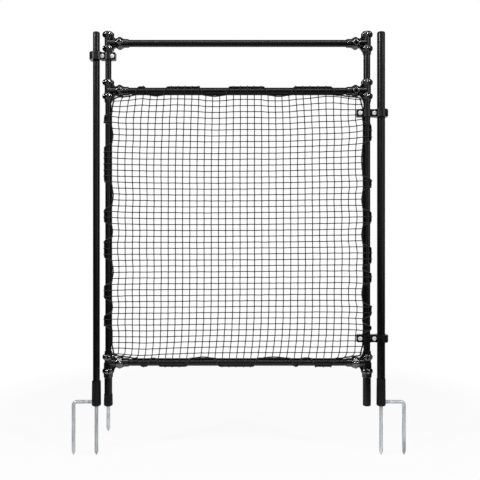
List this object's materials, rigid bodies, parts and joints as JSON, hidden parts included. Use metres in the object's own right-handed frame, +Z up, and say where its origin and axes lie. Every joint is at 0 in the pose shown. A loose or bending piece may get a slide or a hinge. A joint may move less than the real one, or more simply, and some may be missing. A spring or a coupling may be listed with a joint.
{
  "type": "fence gate",
  "caption": "Step-in swing gate for a netting fence: posts with ground spikes, a round-tube frame in tee fittings, a woven net, screwed hinge clamps and a latch hook.",
  "frame": {"origin": "axis of the hinge post at ground level", "axes": "+Z up, +X from the gate out past the hinge post, +Y to the back; the gate opens towards -Y"},
  "size_m": [0.8685, 0.0352, 1.099],
  "materials": {
    "frame_tube": "satin black coating",
    "moulded_foot": "fine matt",
    "galvanised_spike": "mottled zinc",
    "tee_fitting": "moulded semi-gloss",
    "clamp_plastic": "moulded semi-gloss",
    "zinc_screw": "bright zinc",
    "net_twine": "twisted twine",
    "edge_cord": "twisted cord"
  },
  "bodies": {
    "ground_posts": {"latch_post_tube": "frame_tube", "latch_post_cap": "moulded_foot", "latch_post_socket": "moulded_foot", "latch_post_spike": "galvanised_spike", "latch_post_step_spike": "galvanised_spike", "hinge_post_socket": "moulded_foot", "hinge_post_spike": "galvanised_spike", "hinge_post_step_spike": "galvanised_spike"},
    "hinge_post": {"hinge_post_tube": "frame_tube", "hinge_post_cap": "moulded_foot"},
    "gate": {"top_bar": "frame_tube", "net_top_bar": "frame_tube", "bottom_bar": "frame_tube", "latch_stile_upper_tube": "frame_tube", "latch_stile_main_tube": "frame_tube", "latch_foot_tube": "frame_tube", "latch_foot_socket": "moulded_foot", "latch_foot_spike": "galvanised_spike", "hinge_stile_upper_tube": "frame_tube", "hinge_stile_main_tube": "frame_tube", "hinge_foot_tube": "frame_tube", "hinge_foot_cap": "moulded_foot", "top_latch_tee": "tee_fitting", "top_hinge_tee": "tee_fitting", "net_latch_tee": "tee_fitting", "net_hinge_tee": "tee_fitting", "bottom_latch_tee": "tee_fitting", "bottom_hinge_tee": "tee_fitting", "upper_hinge_clamp_front": "clamp_plastic", "upper_hinge_clamp_back": "clamp_plastic", "upper_hinge_clamp_screws": "zinc_screw", "upper_hinge_clamp_nuts": "zinc_screw", "lower_hinge_clamp_front": "clamp_plastic", "lower_hinge_clamp_back": "clamp_plastic", "lower_hinge_clamp_screws": "zinc_screw", "lower_hinge_clamp_nuts": "zinc_screw", "latch_hook_front": "clamp_plastic", "latch_hook_back": "clamp_plastic", "latch_hook_screws": "zinc_screw", "latch_hook_nuts": "zinc_screw", "net": "net_twine", "net_edge_cord": "edge_cord"}
  },
  "joints": [
    {"name": "gate_swing", "type": "hinge", "parent": "ground_posts", "child": "hinge_post", "pos_m": [0, 0, 0], "axis": [0, 0, 1], "range_deg": [0, 150]},
    {"name": "gate_lift", "type": "slide", "parent": "hinge_post", "child": "gate", "axis": [0, 0, 1], "range_m": [0, 0.12]}
  ]
}
